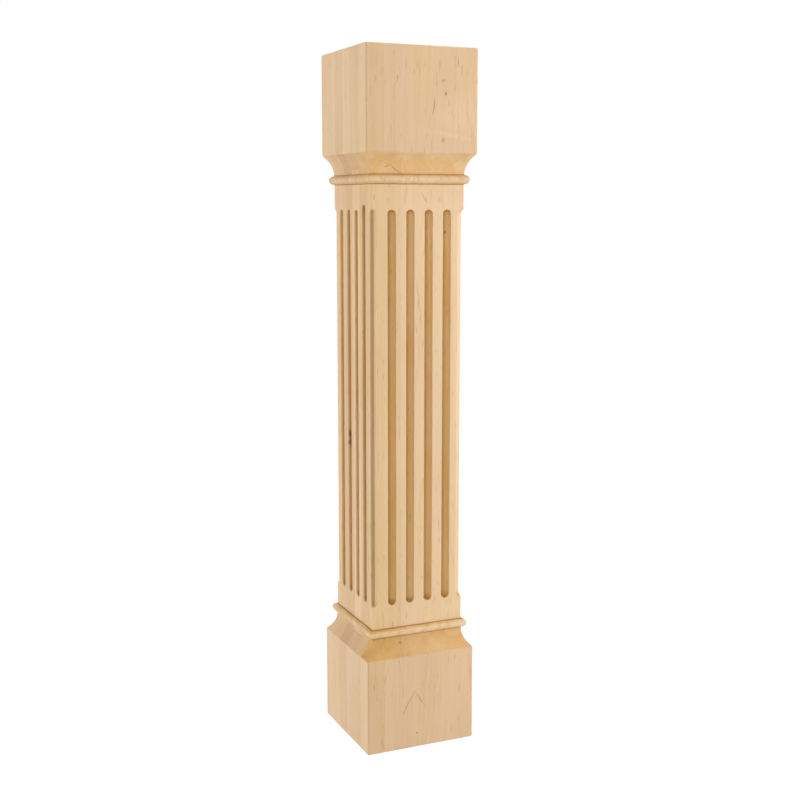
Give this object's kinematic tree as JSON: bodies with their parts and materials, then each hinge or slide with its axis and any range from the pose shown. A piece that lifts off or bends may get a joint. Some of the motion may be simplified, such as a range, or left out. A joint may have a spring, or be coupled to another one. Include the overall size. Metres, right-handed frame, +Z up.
{
  "type": "fluted square wooden post",
  "caption": "Square hardwood post with plain blocks at both ends, cove and bead mouldings, and a fluted shaft with coved corners; carries or trims a worktop or cabinet corner.",
  "frame": {"origin": "middle of the post's underside, on the floor", "axes": "+Z up along the post, -Y out of its front face, +X to the right of that face"},
  "size_m": [0.1524, 0.1524, 0.9017],
  "materials": {
    "maple": "sanded, unfinished"
  },
  "bodies": {
    "root": {"fluted_post": "maple"}
  },
  "joints": []
}
